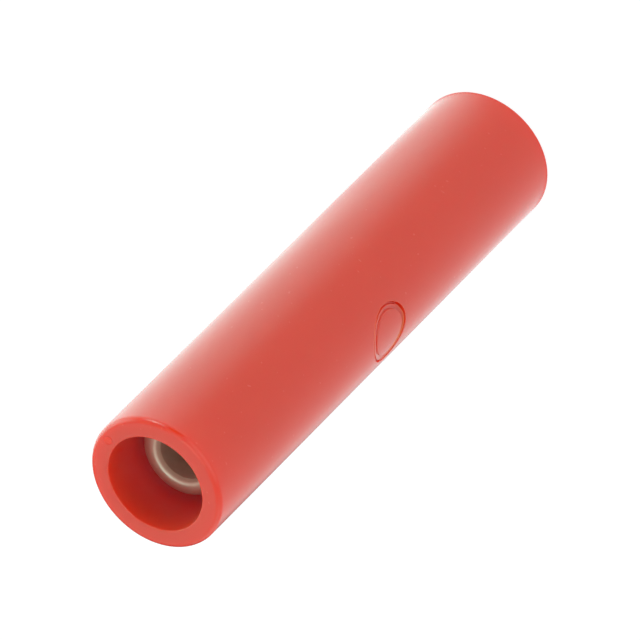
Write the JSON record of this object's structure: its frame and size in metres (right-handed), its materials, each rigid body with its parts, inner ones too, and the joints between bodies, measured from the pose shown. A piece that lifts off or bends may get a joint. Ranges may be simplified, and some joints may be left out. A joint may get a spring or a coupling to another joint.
{
  "type": "banana socket coupler",
  "caption": "Straight insulated in-line coupler for 4 mm banana plugs: a plated contact tube, drilled as a socket at each end, held in a moulded sleeve.",
  "frame": {"origin": "centre of the lower end face, on which the coupler stands", "axes": "+Z along the coupler's axis, from the lower end face to the upper one; +X and +Y across it, with the plain round mark on the side 217 degrees round from +X"},
  "size_m": [0.011, 0.011, 0.0492],
  "materials": {
    "sleeve_plastic": "glossy red moulded polyamide",
    "contact_metal": "turned brass, nickel plated, satin"
  },
  "bodies": {
    "root": {"insulating_sleeve": "sleeve_plastic", "contact_tube": "contact_metal"}
  },
  "joints": []
}
